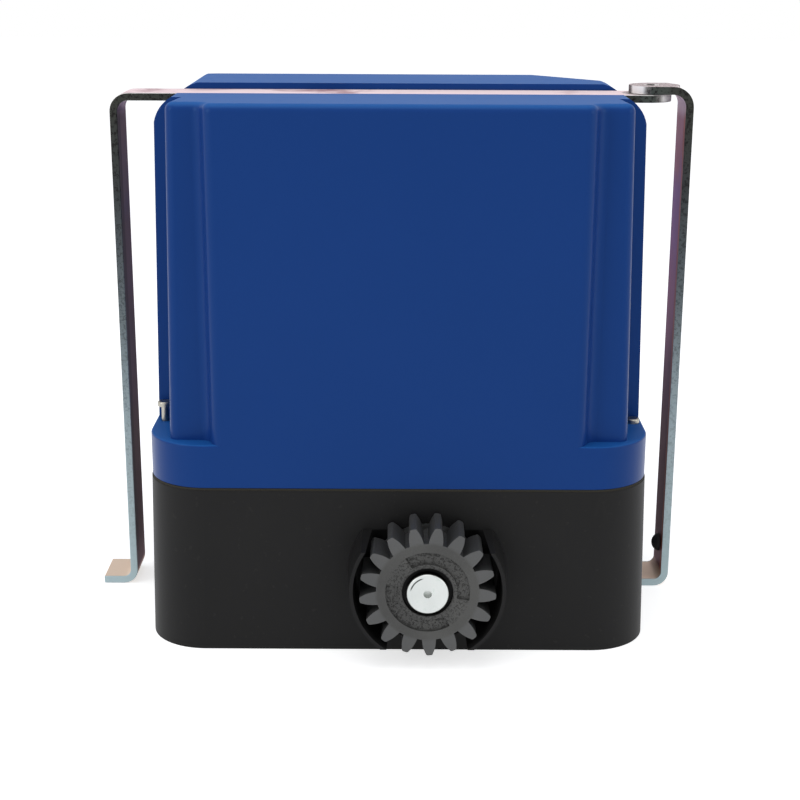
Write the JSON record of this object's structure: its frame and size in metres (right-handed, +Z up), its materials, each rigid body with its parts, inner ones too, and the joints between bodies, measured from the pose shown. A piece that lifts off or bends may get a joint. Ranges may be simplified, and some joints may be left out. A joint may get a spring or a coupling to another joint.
{
  "type": "sliding gate motor",
  "caption": "Sliding gate motor: black base with a toothed rack pinion in a round guard, blue moulded cover, and a steel theft strap over the top.",
  "frame": {"origin": "on the underside of the base, in the middle of its four fixing slots", "axes": "+X to the right seen from the gate, -Y towards the gate and its rack, +Z up"},
  "size_m": [0.3586, 0.2523, 0.3127],
  "materials": {
    "black_plastic": "matte",
    "blue_plastic": "satin",
    "gasket_foam": "matte",
    "rubber": "matte",
    "cast_pinion": "matte",
    "steel": "brushed",
    "bar_steel": "passivated",
    "aluminium": "cast",
    "bronze": "machined",
    "copper": "lacquered",
    "painted_can": "satin",
    "magnet": "matte",
    "battery_case": "matte",
    "board_green": "gloss",
    "terminal_green": "matte",
    "relay_case": "gloss",
    "display": "gloss",
    "white_plastic": "matte",
    "tray_plastic": "matte",
    "zinc": "zinc plated"
  },
  "bodies": {
    "base": {"base_housing": "black_plastic", "cover_gasket": "gasket_foam", "gearbox_case": "aluminium", "gearbox_lid": "aluminium", "gearbox_lid_screws": "zinc", "output_bearings": "steel", "shaft_seal": "rubber", "worm_bearings": "steel", "motor_can": "painted_can", "motor_magnets": "magnet", "motor_end_cap": "black_plastic", "motor_screws": "zinc", "brush_holders": "bronze", "encoder_board": "board_green", "battery": "battery_case", "battery_terminals": "zinc", "battery_clamp": "steel", "transformer_core": "painted_can", "transformer_coil": "copper", "controller_tray": "tray_plastic", "tray_screws": "zinc", "control_board": "board_green", "terminal_blocks": "terminal_green", "relays": "relay_case", "heat_sink": "aluminium", "status_display": "display", "fuse_holder": "white_plastic", "button_switches": "black_plastic", "board_screws": "zinc", "cable_grommets": "rubber", "release_pivot_pin": "steel"},
    "output": {"output_shaft": "zinc", "pinion": "cast_pinion", "worm_wheel": "bronze", "shaft_keys": "steel", "shaft_circlips": "steel"},
    "rotor": {"worm_shaft": "steel", "rotor_core": "steel", "commutator": "copper", "encoder_magnet": "magnet"},
    "release_lever": {"release_lever": "black_plastic"},
    "release_lock": {"lock_barrel": "zinc", "lock_cam": "steel"},
    "release_rod": {"release_rod": "steel"},
    "cover": {"cover": "blue_plastic", "cover_screws": "zinc"},
    "strap_left": {"strap_left_arm": "bar_steel"},
    "strap_right": {"strap_right_arm": "bar_steel", "strap_buffer": "rubber"},
    "board_button_1": {"board_button_1": "white_plastic"},
    "board_button_2": {"board_button_2": "white_plastic"},
    "board_button_3": {"board_button_3": "white_plastic"}
  },
  "joints": [
    {"name": "rotor_turn", "type": "hinge", "parent": "base", "child": "rotor", "pos_m": [0.0605, -0.069, 0.0474], "axis": [0, 0, 1], "continuous": true},
    {"name": "output_turn", "type": "hinge", "parent": "base", "child": "output", "pos_m": [0.0165, -0.069, 0.0474], "axis": [0, 1, 0], "continuous": true},
    {"name": "release_lever_turn", "type": "hinge", "parent": "base", "child": "release_lever", "pos_m": [0.0165, 0.098, 0.0474], "axis": [-1, 0, 0], "range_deg": [0, 90]},
    {"name": "release_lock_turn", "type": "hinge", "parent": "release_lever", "child": "release_lock", "pos_m": [0.0165, 0.098, 0.07], "axis": [0, 1, 0], "range_deg": [0, 90]},
    {"name": "release_rod_slide", "type": "slide", "parent": "base", "child": "release_rod", "axis": [0, -1, 0], "range_m": [0, 0.0058]},
    {"name": "cover_lift", "type": "slide", "parent": "base", "child": "cover", "axis": [0, 0, 1], "range_m": [0, 0.25]},
    {"name": "strap_left_lift", "type": "slide", "parent": "cover", "child": "strap_left", "axis": [0, 0, 1], "range_m": [0, 0.32]},
    {"name": "strap_right_lift", "type": "slide", "parent": "strap_left", "child": "strap_right", "axis": [0, 0, 1], "range_m": [0, 0.32]},
    {"name": "board_button_1_press", "type": "slide", "parent": "base", "child": "board_button_1", "axis": [0, 0, -1], "range_m": [0, 0.0006], "stiffness_N_per_m": 300, "springref_m": -0.0005},
    {"name": "board_button_2_press", "type": "slide", "parent": "base", "child": "board_button_2", "axis": [0, 0, -1], "range_m": [0, 0.0006], "stiffness_N_per_m": 300, "springref_m": -0.0005},
    {"name": "board_button_3_press", "type": "slide", "parent": "base", "child": "board_button_3", "axis": [0, 0, -1], "range_m": [0, 0.0006], "stiffness_N_per_m": 300, "springref_m": -0.0005}
  ],
  "couplings": [
    {"joint": "output_turn", "follows": "rotor_turn", "ratio": 0.029412},
    {"joint": "release_rod_slide", "follows": "release_lever_turn", "m_per_rad": 0.0036}
  ]
}
